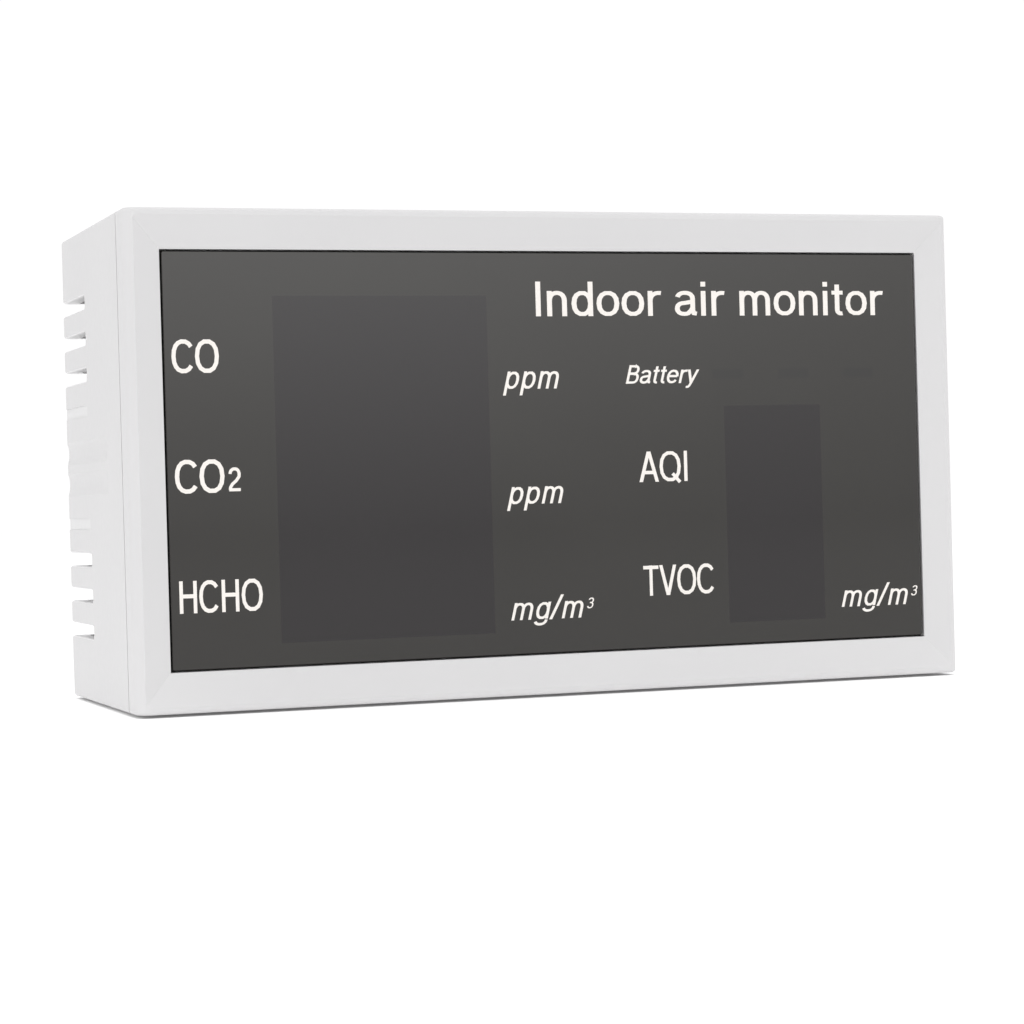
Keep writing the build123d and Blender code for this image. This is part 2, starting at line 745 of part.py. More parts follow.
nodes = {
    "front_cover": front_cover(),
    "rear_shell": rear_shell(),
    "display_window": display_window(),
    "printed_mask": printed_mask(),
    "window_tape": window_tape(),
    "battery_bar_shroud": battery_bar_shroud(),
    "battery_level_lights": battery_level_lights(),
    "display_board": display_board(),
    "display_drivers": display_drivers(),
    "main_board": main_board(),
    "board_spacers": [hex_spacer(x, z) for x, z in spacer_places],
    "board_link_strip": link_strip,
    "board_link_socket": link_socket,
    "board_link_pins": link_pins,
    "co_sensor": sensor_can(-40.0, 43.5, 7.5, 13.0, 5.5, 2.0, 2.2),
    "hcho_sensor": sensor_can(-40.0, 23.5, 8.5, 11.0, 6.5, 1.6, 3.0),
    "tvoc_sensor": tvoc_sensor(),
    "co2_sensor_board": co2_sensor_board(),
    "co2_optical_chamber": co2_optical_chamber(),
    "controller_chip": flat_chip(0.0, main_board_back, 32.0, 7.0, 7.0, 8, 8),
    "charger_chip": flat_chip(9.5, main_board_back, 20.0, 3.9, 4.9, 0, 4),
    "power_coil": power_coil(),
    "small_board_parts": small_parts(),
    "buzzer": buzzer(),
    "battery_cell": battery_cell(),
    "battery_pad": battery_pad(),
    "battery_socket": battery_socket(),
    "battery_plug": battery_plug(),
    "battery_lead_red": battery_lead(-lead_spacing / 2),
    "battery_lead_black": battery_lead(lead_spacing / 2),
    "usb_shell": usb_shell(),
    "usb_tongue": usb_tongue(),
    "switch_body": switch_body(),
    "switch_lever": switch_lever(),
    "power_knob": power_knob(),
    "rubber_feet": rubber_feet(),
    "case_screws": case_screws(),
    "display_board_screws": display_board_screws(),
    "spacer_screws": spacer_screws(),
}
for name, place in zip(left_names + right_names, left_modules + right_modules):
    nodes[name] = display_module(*place)
for name, shape in nodes.items():
    save(name, shape)
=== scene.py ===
"""Looks for the desktop air quality monitor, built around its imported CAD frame. All lengths are in metres."""
import math

import bmesh
import bpy
from mathutils import Euler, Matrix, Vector


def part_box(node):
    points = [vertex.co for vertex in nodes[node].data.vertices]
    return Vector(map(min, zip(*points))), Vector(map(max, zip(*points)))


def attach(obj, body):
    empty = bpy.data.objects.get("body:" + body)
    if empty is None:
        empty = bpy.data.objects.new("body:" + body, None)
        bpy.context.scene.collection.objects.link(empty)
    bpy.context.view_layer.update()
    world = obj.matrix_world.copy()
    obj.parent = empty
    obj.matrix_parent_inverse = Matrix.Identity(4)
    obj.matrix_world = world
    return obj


MM = 0.001
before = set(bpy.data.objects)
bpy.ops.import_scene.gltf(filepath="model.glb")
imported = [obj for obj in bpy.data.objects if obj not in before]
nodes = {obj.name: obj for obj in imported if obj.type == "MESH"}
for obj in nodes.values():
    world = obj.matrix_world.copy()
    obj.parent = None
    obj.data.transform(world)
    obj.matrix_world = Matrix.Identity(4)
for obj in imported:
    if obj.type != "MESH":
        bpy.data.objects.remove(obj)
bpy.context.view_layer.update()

# ---------------------------------------------------------------- camera, light and floor
CAMERA_PLACE = (-129.6 * MM, -366.3 * MM, 27.4 * MM)
CAMERA_TURN = (89.72, 1.60, -19.54)
CAMERA_LENS = 93.4
SENSOR_WIDTH = 36.0
CLIP = (0.01, 50.0)
WORLD_LEVEL = 1.02
WINDOW_LEVEL = 2.6
# The soft window fades in from the first to the second value along each axis of the direction.
WINDOW_FADES = (("Z", -0.05, 0.15), ("Z", 0.27, 0.16), ("Y", -0.45, -0.85), ("X", 0.75, 0.25))
LIGHT_TARGET = (0, 0, 0.03)
SIDE_LIGHT = {"place": (-1.7, -0.1, 0.9), "size": (1.6, 1.2), "power": 3.0}
TOP_LIGHT = {"place": (0.1, -0.3, 1.9), "size": (1.8, 1.8), "power": 8.0}

FLOOR_SIZE = 6.0
FLOOR_PAINTED_GLOW = 0.22                      # painted light: the paper glows a little, brightening the floor and its shadow
PAINTED_GLOW_HALF = (120.0 * MM, 80.0 * MM)    # round the object,
PAINTED_GLOW_SOFT = 50.0 * MM
FAR_PAINTED_GLOW = 0.2                         # with this share of it far away,
SHADE = 0.75                           # and without this share right under the object, leaving painted shade at its foot
SHADE_HALF = (60.3 * MM, 23.2 * MM)
SHADE_SOFT = 0.3 * MM


def make_camera():
    data = bpy.data.cameras.new("camera")
    data.lens = CAMERA_LENS
    data.sensor_width = SENSOR_WIDTH
    data.clip_start, data.clip_end = CLIP
    camera = bpy.data.objects.new("camera", data)
    camera.location = CAMERA_PLACE
    camera.rotation_euler = Euler([math.radians(a) for a in CAMERA_TURN], "XYZ")
    bpy.context.scene.collection.objects.link(camera)
    bpy.context.scene.camera = camera


def make_world():
    """An even white studio with one long soft window, low in front, that the display window mirrors."""
    world = bpy.data.worlds.new("studio")
    bpy.context.scene.world = world
    world.use_nodes = True
    tree = world.node_tree
    coords = tree.nodes.new("ShaderNodeTexCoord")
    split = tree.nodes.new("ShaderNodeSeparateXYZ")
    tree.links.new(coords.outputs["Generated"], split.inputs[0])

    def fade(axis, start, end):
        """0 at start and 1 at end of one axis of the direction, smooth between."""
        ramp = tree.nodes.new("ShaderNodeMapRange")
        ramp.interpolation_type = "SMOOTHSTEP"
        ramp.inputs["From Min"].default_value = start
        ramp.inputs["From Max"].default_value = end
        tree.links.new(split.outputs[axis], ramp.inputs["Value"])
        return ramp.outputs[0]

    glow = None
    for axis, start, end in WINDOW_FADES:
        ramp = fade(axis, start, end)
        if glow is not None:
            product = tree.nodes.new("ShaderNodeMath")
            product.operation = "MULTIPLY"
            tree.links.new(glow, product.inputs[0])
            tree.links.new(ramp, product.inputs[1])
            ramp = product.outputs[0]
        glow = ramp
    level = tree.nodes.new("ShaderNodeMapRange")
    level.inputs["To Min"].default_value = WORLD_LEVEL
    level.inputs["To Max"].default_value = WINDOW_LEVEL
    background = tree.nodes["Background"]
    background.inputs["Color"].default_value = (1.0, 1.0, 1.0, 1.0)
    tree.links.new(glow, level.inputs["Value"])
    tree.links.new(level.outputs[0], background.inputs["Strength"])


def area_light(name, place, size, power):
    data = bpy.data.lights.new(name, "AREA")
    data.shape = "RECTANGLE"
    data.size, data.size_y = size
    data.energy = power
    light = bpy.data.objects.new(name, data)
    light.location = place
    light.rotation_euler = (Vector(LIGHT_TARGET) - Vector(place)).to_track_quat("-Z", "Y").to_euler()
    bpy.context.scene.collection.objects.link(light)


def make_floor():
    mesh = bpy.data.meshes.new("floor")
    half = FLOOR_SIZE / 2
    corners = [(-half, -half, 0), (half, -half, 0), (half, half, 0), (-half, half, 0)]
    mesh.from_pydata(corners, [], [(0, 1, 2, 3)])
    floor = bpy.data.objects.new("floor", mesh)
    bpy.context.scene.collection.objects.link(floor)
    s = Shader("floor_paper_painted_glow")
    s.colour(s.mix(s.spread(s.noise(0.2), 0.0, 1.0), (0.92, 0.92, 0.92), (0.94, 0.94, 0.94)))
    # painted light: an emitted glow on the paper, strongest round the object to lift its shadow and weaker
    # right under it, as painted shade at its foot
    painted_glow_round_object = s.math("MAXIMUM", s.rectangle((0, 0), PAINTED_GLOW_HALF, PAINTED_GLOW_SOFT, "XY"), FAR_PAINTED_GLOW)
    under = s.math("MULTIPLY", s.rectangle((0, 0), SHADE_HALF, SHADE_SOFT, "XY"), SHADE)
    glow = s.math("MULTIPLY", s.math("SUBTRACT", painted_glow_round_object, under), FLOOR_PAINTED_GLOW)
    s.link(glow, s.surface.inputs["Emission Strength"])
    s.fix(Roughness=0.85, Emission_Color=(1.0, 1.0, 1.0, 1.0))
    floor.data.materials.append(s.material)


# ---------------------------------------------------------------- material helpers
NOISE_MIDDLE = (0.3, 0.7)


class Shader:
    """A material with its Principled shader, and short ways to add and link nodes."""

    def __init__(self, name):
        self.material = bpy.data.materials.new(name)
        self.material.use_nodes = True
        self.tree = self.material.node_tree
        self.surface = self.tree.nodes["Principled BSDF"]
        self.coords = self.tree.nodes.new("ShaderNodeTexCoord").outputs["Object"]

    def node(self, kind, **settings):
        made = self.tree.nodes.new("ShaderNode" + kind)
        for key, value in settings.items():
            setattr(made, key, value)
        return made

    def link(self, source, target):
        self.tree.links.new(source, target)

    def fix(self, **values):
        """Values that are the same all over, set on the shader's own sockets."""
        for key, value in values.items():
            self.surface.inputs[key.replace("_", " ")].default_value = value

    def stretched(self, scale):
        mapping = self.node("Mapping")
        mapping.inputs["Scale"].default_value = scale
        self.link(self.coords, mapping.inputs["Vector"])
        return mapping.outputs[0]

    def noise(self, size, detail=3.0, stretch=(1, 1, 1)):
        """Noise whose spots are about size across, in metres."""
        noise = self.node("TexNoise")
        noise.inputs["Scale"].default_value = 1.0 / size
        noise.inputs["Detail"].default_value = detail
        self.link(self.stretched(stretch), noise.inputs["Vector"])
        return noise.outputs["Fac"]

    def remap(self, value, from_low, from_high, to_low=0.0, to_high=1.0, **settings):
        """Maps one range to another, and clamps it."""
        made = self.node("MapRange", **settings)
        ends = {"From Min": from_low, "From Max": from_high, "To Min": to_low, "To Max": to_high}
        for key, number in ends.items():
            made.inputs[key].default_value = number
        self.link(value, made.inputs["Value"])
        return made.outputs[0]

    def spread(self, factor, low, high):
        """Maps the middle of a noise to the range from low to high."""
        return self.remap(factor, *NOISE_MIDDLE, low, high)

    def mix(self, factor, first, second):
        blend = self.node("Mix", data_type="RGBA")
        for socket, value in ((blend.inputs[6], first), (blend.inputs[7], second)):
            if isinstance(value, tuple):
                socket.default_value = (*value, 1.0)
            else:
                self.link(value, socket)
        self.link(factor, blend.inputs[0])
        return blend.outputs[2]

    def math(self, operation, first, second=0.0):
        made = self.node("Math", operation=operation)
        for socket, value in zip(made.inputs, (first, second)):
            if isinstance(value, (int, float)):
                socket.default_value = value
            else:
                self.link(value, socket)
        return made.outputs[0]

    def bump(self, height, depth, strength=1.0):
        made = self.node("Bump")
        made.inputs["Distance"].default_value = depth
        made.inputs["Strength"].default_value = strength
        self.link(height, made.inputs["Height"])
        self.link(made.outputs[0], self.surface.inputs["Normal"])

    def colour(self, value):
        self.link(value, self.surface.inputs["Base Color"])

    def roughness(self, value):
        self.link(value, self.surface.inputs["Roughness"])

    def rectangle(self, centre, half, soft, plane="XZ"):
        """1 inside a rectangle in a plane of two axes, 0 outside, with a soft edge."""
        split = self.node("SeparateXYZ")
        self.link(self.coords, split.inputs[0])
        inside = None
        for axis, middle, reach in zip(plane, centre, half):
            away = self.math("ABSOLUTE", self.math("SUBTRACT", split.outputs[axis], middle))
            edge = self.remap(away, reach + soft, reach - soft, interpolation_type="SMOOTHSTEP")
            inside = edge if inside is None else self.math("MULTIPLY", inside, edge)
        return inside


def shade(colour, factor):
    return tuple(min(1.0, channel * factor) for channel in colour)


def plain_surface(name, colour, roughness, vary=0.03, patch=0.012, grain=0.0003, depth=0.0, metallic=0.0,
                  stretch=(1, 1, 1), **fixed):
    """A finish with soft colour patches, uneven gloss and a fine grain."""
    s = Shader(name)
    s.colour(s.mix(s.spread(s.noise(patch), 0.0, 1.0), shade(colour, 1 - vary), shade(colour, 1 + vary)))
    s.roughness(s.spread(s.noise(patch * 0.4, stretch=stretch), roughness * 0.9, roughness * 1.1))
    s.fix(Metallic=metallic, **fixed)
    if depth:
        s.bump(s.noise(grain, 4.0, stretch), depth)
    return s.material


def dress(material, *names):
    """Puts a material on CAD nodes."""
    for name in names:
        data = nodes[name].data
        data.materials.clear()
        data.materials.append(material)


# ---------------------------------------------------------------- materials of the outside
VENTS_FROM_MIDDLE = 54.6 * MM
VENTS_FRONT = 5.5 * MM
VENTS_LOW = 8.5 * MM
VENTS_HIGH = 58.5 * MM
RECESS_HEIGHTS = (25.5 * MM, 41.5 * MM)
RECESS_HALF = 0.8 * MM
WALL_OUTSIDE = 60.6 * MM
WALL_INSIDE = 58.4 * MM
BACK_INSIDE = 21.3 * MM
SLACK = 0.1 * MM
LEVEL_NORMAL = 0.6                     # a face counts as level from this vertical share of its normal
CASE_TONES = (0.599, 0.594, 0.600), (0.613, 0.608, 0.613)
# painted light: the three tones below paint the vent area paler, lifting the shade in the recesses, the slots
# and the inside of the shell
RECESS_PAINTED_GLOW_TONE = (0.663, 0.660, 0.664)
SLOT_MOUTH_PAINTED_GLOW_TONE = (0.720, 0.716, 0.721)
INSIDE_PAINTED_GLOW_TONE = (0.985, 0.980, 0.985)


def case_plastic():
    """White moulded ABS: a fine spark-eroded grain and very faint flow patches. Round the vents the inside of
    the shell, the slots' faces and the recesses' thin floors are painted paler. This is painted light: it
    stands in for light through the slightly translucent plastic and lifts the shade in these hollows."""
    s = Shader("case_white_painted_vent_glow")
    plain = s.mix(s.spread(s.noise(0.03, 2.0), 0.0, 1.0), *CASE_TONES)
    place = s.node("SeparateXYZ")
    s.link(s.coords, place.inputs[0])
    facing = s.node("SeparateXYZ")
    s.link(s.node("TexCoord").outputs["Normal"], facing.inputs[0])
    from_middle = s.math("ABSOLUTE", place.outputs["X"])
    at_side = s.math("GREATER_THAN", from_middle, VENTS_FROM_MIDDLE)
    at_back = s.math("GREATER_THAN", place.outputs["Y"], VENTS_FRONT)
    above = s.math("GREATER_THAN", place.outputs["Z"], VENTS_LOW)
    below = s.math("LESS_THAN", place.outputs["Z"], VENTS_HIGH)
    vents = s.math("MULTIPLY", s.math("MULTIPLY", at_side, at_back), s.math("MULTIPLY", above, below))
    level = s.math("GREATER_THAN", s.math("ABSOLUTE", facing.outputs["Z"]), LEVEL_NORMAL)
    painted_glow_recesses = None
    for height in RECESS_HEIGHTS:
        away = s.math("ABSOLUTE", s.math("SUBTRACT", place.outputs["Z"], height))
        inside = s.math("LESS_THAN", away, RECESS_HALF)
        painted_glow_recesses = inside if painted_glow_recesses is None else s.math("MAXIMUM", painted_glow_recesses, inside)
    # painted light: in the vent area the recesses' floors are painted paler
    walls = s.mix(s.math("MULTIPLY", vents, painted_glow_recesses), plain, RECESS_PAINTED_GLOW_TONE)
    # painted light: the slots' level faces are painted paler, from the mouth to almost white at the inner edge,
    # lifting the shade inside the slots
    slots_painted_glow = s.mix(s.remap(from_middle, WALL_OUTSIDE, WALL_INSIDE), SLOT_MOUTH_PAINTED_GLOW_TONE, INSIDE_PAINTED_GLOW_TONE)
    outside = s.mix(s.math("MULTIPLY", vents, level), walls, slots_painted_glow)
    # painted light: round the vents the inside of the shell is painted almost white, lifting its shade
    within_sides = s.math("LESS_THAN", from_middle, WALL_INSIDE + SLACK)
    within_back = s.math("LESS_THAN", s.math("ABSOLUTE", place.outputs["Y"]), BACK_INSIDE + SLACK)
    inside = s.math("MULTIPLY", s.math("MULTIPLY", within_sides, within_back), vents)
    s.colour(s.mix(inside, outside, INSIDE_PAINTED_GLOW_TONE))
    s.roughness(s.spread(s.noise(0.0011, 3.0), 0.48, 0.58))
    s.bump(s.noise(0.00022, 3.0), 0.000006, 0.6)
    s.fix(IOR=1.53, Specular_IOR_Level=0.32)
    return s.material


def span(names):
    """Middle and half size, in X and Z, of the box round several CAD nodes."""
    boxes = [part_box(name) for name in names]
    low = [min(box[0][axis] for box in boxes) for axis in (0, 2)]
    high = [max(box[1][axis] for box in boxes) for axis in (0, 2)]
    return [(a + b) / 2 for a, b in zip(low, high)], [(b - a) / 2 for a, b in zip(low, high)]


BAR_HALF = (2.4 * MM, 0.65 * MM)
BAR_SOFT = 0.35 * MM
BAR_STRENGTH = 0.7
LIGHT_HALF_X = 0.8 * MM
CLEAR_MARGIN = (0.05 * MM, 0.55 * MM)
CLEAR_SOFT = 0.08 * MM
DISPLAY_COLUMNS = ("co_display", "co2_display", "hcho_display"), ("aqi_display", "tvoc_display")
PRINT_TONES = (0.0195, 0.0178, 0.0158), (0.0215, 0.0198, 0.0176)
SMOKED_TONE = (0.0122, 0.0098, 0.0108)
BAR_TONE = (0.0150, 0.0142, 0.0138)
INK_TONES = (0.775, 0.738, 0.700), (0.795, 0.758, 0.720)
ACRYLIC_IOR = 1.49


def battery_bar_places():
    low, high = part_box("battery_level_lights")
    first = low.x + LIGHT_HALF_X
    last = high.x - LIGHT_HALF_X
    z = (low.z + high.z) / 2
    return [(x, z) for x in (first, (first + last) / 2, last)]


def window_acrylic():
    """Polished acrylic, screen-printed dark grey behind, with smoked areas over the displays and bars."""
    s = Shader("window_smoke")
    print_tone = s.mix(s.spread(s.noise(0.02), 0.0, 1.0), *PRINT_TONES)
    clear = None
    for column in DISPLAY_COLUMNS:
        middle, half = span(column)
        mask = s.rectangle(middle, [size + margin for size, margin in zip(half, CLEAR_MARGIN)], CLEAR_SOFT)
        clear = mask if clear is None else s.math("MAXIMUM", clear, mask)
    bars = None
    for place in battery_bar_places():
        mask = s.rectangle(place, BAR_HALF, BAR_SOFT)
        bars = mask if bars is None else s.math("MAXIMUM", bars, mask)
    smoked = s.mix(clear, print_tone, SMOKED_TONE)
    s.colour(s.mix(s.math("MULTIPLY", bars, BAR_STRENGTH), smoked, BAR_TONE))
    s.roughness(s.spread(s.noise(0.018, 5.0), 0.045, 0.085))
    s.bump(s.noise(0.02, 1.0), 0.00001, 0.5)
    s.fix(IOR=ACRYLIC_IOR)
    return s.material


def legend_ink():
    """Warm white ink under the gloss of the window."""
    s = Shader("legend_ink")
    s.colour(s.mix(s.spread(s.noise(0.0006, 4.0), 0.0, 1.0), *INK_TONES))
    s.roughness(s.spread(s.noise(0.004), 0.30, 0.42))
    s.fix(IOR=ACRYLIC_IOR)
    return s.material


# ---------------------------------------------------------------- materials of the inside
TRACK_EDGE = (0.55, 0.60)              # where the wave pattern turns from board to track


def board_mask():
    """Green solder mask over fine copper tracks."""
    s = Shader("board_green")
    waves = s.node("TexWave", wave_type="BANDS", bands_direction="DIAGONAL", wave_profile="TRI")
    waves.inputs["Scale"].default_value = 260.0
    waves.inputs["Distortion"].default_value = 7.0
    s.link(s.coords, waves.inputs["Vector"])
    track = s.remap(waves.outputs["Fac"], *TRACK_EDGE)
    s.colour(s.mix(track, (0.012, 0.105, 0.045), (0.030, 0.175, 0.080)))
    s.roughness(s.spread(s.noise(0.005), 0.22, 0.34))
    s.bump(track, 0.00003)
    return s.material


def battery_foil():
    """Crinkled laminated foil."""
    s = Shader("battery_pouch")
    cells = s.node("TexVoronoi", feature="SMOOTH_F1")
    cells.inputs["Scale"].default_value = 160.0
    s.link(s.coords, cells.inputs["Vector"])
    s.colour(s.mix(cells.outputs["Distance"], (0.62, 0.63, 0.66), (0.78, 0.79, 0.81)))
    s.roughness(s.spread(s.noise(0.003), 0.30, 0.45))
    s.bump(cells.outputs["Distance"], 0.00012)
    s.fix(Metallic=1.0)
    return s.material


def dress_cad_nodes():
    case = case_plastic()
    dress(case, "front_cover", "rear_shell")
    dress(plain_surface("knob_white", (0.74, 0.74, 0.75), 0.45, depth=0.000006), "power_knob")
    dress(window_acrylic(), "display_window")
    dress(plain_surface("mask_black", (0.012, 0.012, 0.013), 0.7, depth=0.000004), "printed_mask",
          "battery_bar_shroud")
    dress(plain_surface("tape_black", (0.015, 0.015, 0.015), 0.9, depth=0.00003), "window_tape",
          "battery_pad")
    dress(plain_surface("display_epoxy", (0.030, 0.030, 0.033), 0.35, depth=0.000004), "co_display",
          "co2_display", "hcho_display", "aqi_display", "tvoc_display")
    dress(plain_surface("light_epoxy", (0.80, 0.76, 0.62), 0.25), "battery_level_lights")
    dress(board_mask(), "display_board", "main_board", "co2_sensor_board")
    dress(plain_surface("chip_black", (0.020, 0.020, 0.022), 0.55, depth=0.000008), "display_drivers",
          "controller_chip", "charger_chip", "power_coil", "buzzer", "board_link_strip",
          "board_link_socket", "usb_tongue")
    dress(plain_surface("gold_plate", (0.80, 0.58, 0.24), 0.26, metallic=1.0, depth=0.000003),
          "board_link_pins", "board_spacers", "co2_optical_chamber")
    dress(plain_surface("sensor_ivory", (0.74, 0.72, 0.66), 0.5, depth=0.000006), "co_sensor",
          "battery_plug", "battery_socket")
    dress(plain_surface("sensor_blue", (0.04, 0.12, 0.32), 0.45, depth=0.000006), "hcho_sensor")
    dress(plain_surface("steel_can", (0.60, 0.60, 0.61), 0.30, metallic=1.0, depth=0.000004,
                        stretch=(1, 8, 1)), "tvoc_sensor", "usb_shell")
    dress(plain_surface("switch_black", (0.018, 0.018, 0.018), 0.4, depth=0.000006), "switch_body",
          "switch_lever")
    dress(plain_surface("part_ceramic", (0.42, 0.33, 0.22), 0.4, vary=0.3, patch=0.002),
          "small_board_parts")
    dress(battery_foil(), "battery_cell")
    dress(plain_surface("lead_red", (0.50, 0.02, 0.015), 0.4, depth=0.000004), "battery_lead_red")
    dress(plain_surface("lead_black", (0.015, 0.015, 0.015), 0.4, depth=0.000004), "battery_lead_black")
    dress(plain_surface("foot_rubber", (0.030, 0.030, 0.031), 0.85, depth=0.00003), "rubber_feet")
    dress(plain_surface("screw_steel", (0.46, 0.46, 0.47), 0.32, metallic=1.0, depth=0.000004,
                        stretch=(6, 1, 6)), "case_screws", "display_board_screws", "spacer_screws")


# ---------------------------------------------------------------- lettering drawn with strokes
# A glyph is drawn in a square whose unit is the height of a capital. STEM is the width of a stroke.
STEM = 0.128
HALF = STEM / 2
X_HEIGHT = 0.73
DESCENT = -0.27
CURVE_STEPS = 14
SAME_PLACE = 1e-6
MITRE_LIMIT = 0.5                      # keeps the outer corner of a sharp bend from running far out
SQUARENESS = 2.25                      # 2 is a true ellipse, and more is squarer
OVERSHOOT = 0.008                      # how far round lower-case letters pass the level ones
SLANT_WEIGHT = 1.04


def arc(centre, radii, start, end):
    """Points along a slightly squared ellipse, from one angle to another in degrees."""
    points = []
    for step in range(CURVE_STEPS + 1):
        angle = math.radians(start + (end - start) * step / CURVE_STEPS)
        cos, sin = math.cos(angle), math.sin(angle)
        x = math.copysign(abs(cos) ** (2 / SQUARENESS), cos)
        y = math.copysign(abs(sin) ** (2 / SQUARENESS), sin)
        points.append((centre[0] + radii[0] * x, centre[1] + radii[1] * y))
    return points


def ribbon(points, width, closed=False):
    """Outline loops of a stroke along points. A closed stroke gives an outer and an inner loop."""
    pts = [Vector((*p, 0)) for p in points]
    if closed and (pts[0] - pts[-1]).length < SAME_PLACE:
        pts.pop()
    count = len(pts)
    left, right = [], []
    for i, here in enumerate(pts):
        before = pts[i - 1] if i or closed else None
        after = pts[(i + 1) % count] if i < count - 1 or closed else None
        into = (here - before).normalized() if before is not None else (after - here).normalized()
        out = (after - here).normalized() if after is not None else into
        tangent = (into + out).normalized()
        normal = Vector((-tangent.y, tangent.x, 0))
        reach = width / 2 / max(MITRE_LIMIT, normal.dot(Vector((-into.y, into.x, 0))))
        left.append(here + normal * reach)
        right.append(here - normal * reach)
    return left, right


def slant(x0, y0, x1, y1, width):
    """A slanted stroke with level ends, as a four-cornered outline."""
    reach = width / 2 / math.sin(math.atan2(abs(y1 - y0), abs(x1 - x0)))
    return [(x0 - reach, y0), (x0 + reach, y0), (x1 + reach, y1), (x1 - reach, y1)]


def stem(x, low, high):
    return [(x, low), (x, high)]


def bowl(x, width, top=X_HEIGHT):
    """Closed round stroke of o, d, p, g and b."""
    return arc((x + width / 2, top / 2), (width / 2 - HALF, top / 2 - HALF + OVERSHOOT), 0, 360)


def arch(left, right, top=X_HEIGHT, foot=0.0, spring=0.44):
    """Shoulder of n and m: rises from the left stem, turns over and comes down the right one."""
    middle = (left + right) / 2
    over = arc((middle, spring), ((right - left) / 2, top - HALF - spring + OVERSHOOT), 180, 0)
    return over + [(right, foot)]


LOW_O = 0.555
# Each glyph: advance, open strokes, closed strokes, and slanted strokes with level ends.
GLYPHS = {
    "C": (0.70, [arc((0.36, 0.5), (0.30, 0.448), 37, 323)], [], []),
    "O": (0.76, [], [arc((0.38, 0.5), (0.31, 0.448), 0, 360)], []),
    "Q": (0.76, [[(0.46, 0.26), (0.71, -0.03)]], [arc((0.38, 0.5), (0.31, 0.448), 0, 360)], []),
    "H": (0.72, [stem(0.12, 0, 1), stem(0.60, 0, 1), [(0.12, 0.53), (0.60, 0.53)]], [], []),
    "I": (0.27, [stem(0.135, 0, 1)], [], []),
    "A": (0.66, [[(0.14, 0.31), (0.52, 0.31)]], [], [(0.055, 0, 0.325, 1), (0.605, 0, 0.335, 1)]),
    "V": (0.64, [], [], [(0.055, 1, 0.315, 0), (0.585, 1, 0.325, 0)]),
    "T": (0.62, [stem(0.31, 0, 1), [(0.02, 1 - HALF), (0.60, 1 - HALF)]], [], []),
    "B": (0.66, [stem(0.12, 0, 1),
                 [(0.12, 1 - HALF), (0.36, 1 - HALF)] + arc((0.36, 0.742), (0.17, 0.194), 90, -90)
                 + [(0.12, 0.548)],
                 [(0.12, 0.53), (0.38, 0.53)] + arc((0.38, 0.297), (0.19, 0.233), 90, -90) + [(0.12, HALF)]],
          [], []),
    "2": (0.60, [arc((0.30, 0.70), (0.19, 0.236), 175, -20)
                 + [(0.36, 0.44), (0.20, 0.30), (0.12, 0.17), (0.10, HALF)],
                 [(0.06, HALF), (0.54, HALF)]], [], []),
    "3": (0.60, [arc((0.29, 0.735), (0.17, 0.20), 165, -90) + [(0.22, 0.535)],
                 [(0.22, 0.535)] + arc((0.29, 0.30), (0.20, 0.235), 90, -165)], [], []),
    "/": (0.34, [], [], [(0.02, -0.02, 0.28, 1.02)]),
    "a": (0.56, [arc((0.26, 0.50), (0.185, 0.175), 165, 0) + [(0.445, 0.16), (0.47, 0.075), (0.54, 0.062)],
                 [(0.445, 0.42), (0.34, 0.395)] + arc((0.24, 0.215), (0.17, 0.16), 90, 300)
                 + [(0.40, 0.15), (0.445, 0.24)]], [], []),
    "d": (0.59, [stem(0.485, 0, 1)], [bowl(0.03, 0.52)], []),
    "e": (0.56, [[(0.10, 0.385), (0.50, 0.385)], arc((0.285, 0.365), (0.22, 0.31), 0, 325)], [], []),
    "g": (0.59, [stem(0.485, 0.02, X_HEIGHT),
                 arc((0.275, -0.02), (0.21, 0.19), 0, -160)], [bowl(0.03, 0.52)], []),
    "i": (0.25, [stem(0.125, 0, X_HEIGHT), stem(0.125, 0.86, 1)], [], []),
    "m": (0.86, [stem(0.11, 0, X_HEIGHT), arch(0.11, 0.43), arch(0.43, 0.75)], [], []),
    "n": (0.57, [stem(0.11, 0, X_HEIGHT), arch(0.11, 0.46)], [], []),
    "o": (0.575, [], [bowl(0.01, LOW_O)], []),
    "p": (0.59, [stem(0.105, DESCENT, X_HEIGHT)], [bowl(0.04, 0.52)], []),
    "r": (0.37, [stem(0.11, 0, X_HEIGHT),
                 arc((0.32, 0.43), (0.21, X_HEIGHT - HALF - 0.425), 180, 78)], [], []),
    "t": (0.33, [[(0.155, 0.92), (0.155, 0.18)] + arc((0.255, 0.17), (0.10, 0.115), 180, 285),
                 [(0.02, X_HEIGHT - 0.052), (0.30, X_HEIGHT - 0.052)]], [], []),
    "y": (0.52, [[(0.255, 0.0), (0.20, -0.145), (0.145, -0.205), (0.045, -0.212)]], [],
          [(0.045, X_HEIGHT, 0.26, 0.0), (0.475, X_HEIGHT, 0.235, -0.06)]),
}
SPACE = 0.30
INK_DEPTH = 0.03 * MM


